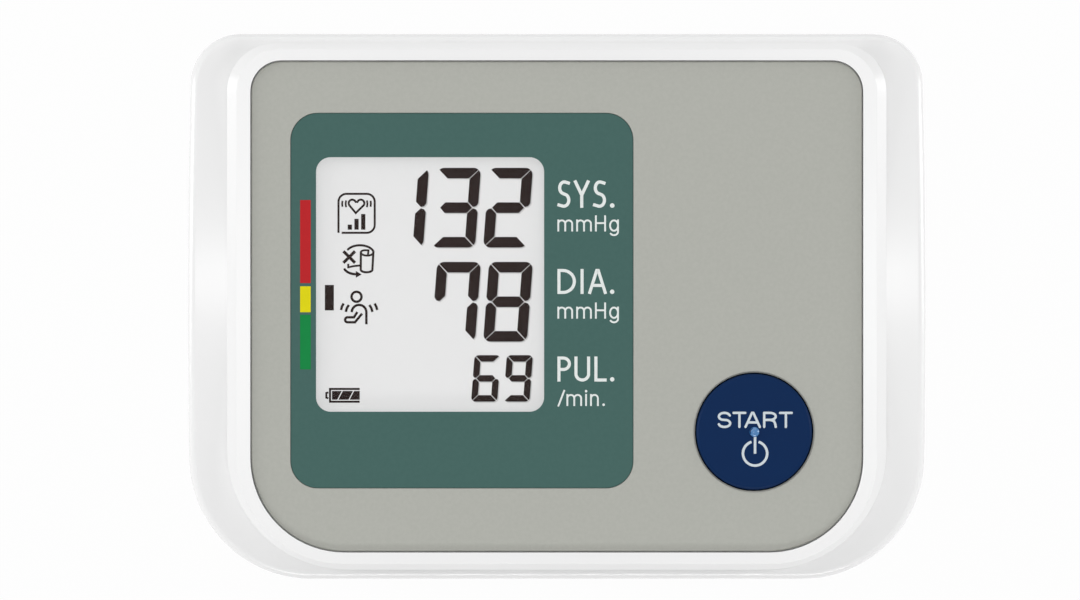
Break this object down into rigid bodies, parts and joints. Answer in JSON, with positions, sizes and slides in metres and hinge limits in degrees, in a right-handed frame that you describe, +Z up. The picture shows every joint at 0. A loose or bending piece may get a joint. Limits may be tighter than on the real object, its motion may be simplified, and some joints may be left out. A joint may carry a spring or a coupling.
{
  "type": "upper arm blood pressure monitor",
  "caption": "Wedge-shaped table-top upper arm blood pressure monitor with a sloping face, a large segment display, one round start button and an air socket for the cuff.",
  "frame": {"origin": "centre of the overall box, on the table under the rubber feet", "axes": "+X across to the user's right, +Y from the user's side to the back, +Z up from the table"},
  "size_m": [0.14, 0.1021, 0.06],
  "materials": {
    "white_shell": "satin",
    "grey_panel": "fine matte grain",
    "green_surround": "smooth matt",
    "clear_lens": "polished",
    "display_glass": "smooth",
    "reflector_film": "matt",
    "holder_plastic": "moulded",
    "dark_plastic": "moulded",
    "strip_rubber": "soft",
    "board_green": "solder mask",
    "bare_metal": "plated",
    "capacitor_sleeve": "shrunk film",
    "copper_winding": "enamelled",
    "cell_wrap": "printed film",
    "button_blue": "satin",
    "foot_rubber": "soft"
  },
  "bodies": {
    "housing": {"top_case": "white_shell", "bottom_case": "white_shell", "front_panel": "grey_panel", "display_surround": "green_surround", "window_lens": "clear_lens", "lcd_cell": "display_glass", "lcd_reflector": "reflector_film", "lcd_holder": "holder_plastic", "pressure_sensor": "holder_plastic", "air_socket": "holder_plastic", "air_manifold": "holder_plastic", "valve_seat": "holder_plastic", "pump_motor_end_cap": "holder_plastic", "pump_crank_case": "holder_plastic", "pump_drive_plate": "holder_plastic", "pump_valve_plate": "holder_plastic", "pump_head": "holder_plastic", "buzzer": "dark_plastic", "microcontroller": "dark_plastic", "switch_body": "dark_plastic", "dc_jack": "dark_plastic", "lcd_connectors": "strip_rubber", "socket_tube": "strip_rubber", "pump_tube": "strip_rubber", "sensor_tube": "strip_rubber", "valve_tube": "strip_rubber", "pump_diaphragm": "strip_rubber", "pump_cushions": "strip_rubber", "main_board": "board_green", "switch_dome": "bare_metal", "valve_yoke": "bare_metal", "valve_spring": "bare_metal", "pump_motor_can": "bare_metal", "pump_motor_magnets": "bare_metal", "pump_bearings": "bare_metal", "battery_contacts_back": "bare_metal", "battery_contact_front": "bare_metal", "battery_terminal_negative": "bare_metal", "battery_terminal_positive": "bare_metal", "case_screws": "bare_metal", "board_screws": "bare_metal", "board_capacitors": "capacitor_sleeve", "valve_coil": "copper_winding", "battery_leads": "copper_winding", "pump_leads": "copper_winding", "jack_leads": "copper_winding", "battery_cell_1": "cell_wrap", "battery_cell_2": "cell_wrap", "battery_cell_3": "cell_wrap", "battery_cell_4": "cell_wrap", "foot_front_left": "foot_rubber", "foot_front_right": "foot_rubber", "foot_back_left": "foot_rubber", "foot_back_right": "foot_rubber"},
    "start_button": {"start_button": "button_blue"},
    "switch_stem": {"switch_stem": "dark_plastic"},
    "valve_plunger": {"valve_plunger": "bare_metal"},
    "pump_rotor": {"pump_motor_rotor": "bare_metal", "pump_crank": "holder_plastic"},
    "battery_cover": {"battery_cover": "white_shell"}
  },
  "joints": [
    {"name": "button_press", "type": "slide", "parent": "housing", "child": "start_button", "axis": [0, 0.2419, -0.9703], "range_m": [0, 0.0005], "stiffness_N_per_m": 2000, "springref_m": -0.0002},
    {"name": "stem_press", "type": "slide", "parent": "housing", "child": "switch_stem", "axis": [0, 0.2419, -0.9703], "range_m": [0, 0.0005]},
    {"name": "valve_close", "type": "slide", "parent": "housing", "child": "valve_plunger", "axis": [0, -0.9703, -0.2419], "range_m": [0, 0.0008], "stiffness_N_per_m": 300, "springref_m": -0.0005, "deforming": ["valve_spring"]},
    {"name": "motor_spin", "type": "hinge", "parent": "housing", "child": "pump_rotor", "pos_m": [0.029, 0.0265, 0.0185], "axis": [0, -1, 0], "continuous": true},
    {"name": "cover_swing", "type": "hinge", "parent": "housing", "child": "battery_cover", "pos_m": [-0.02, -0.0241, 0.001], "axis": [-1, 0, 0], "range_deg": [0, 35]}
  ],
  "couplings": [
    {"joint": "stem_press", "follows": "button_press", "ratio": 1}
  ]
}
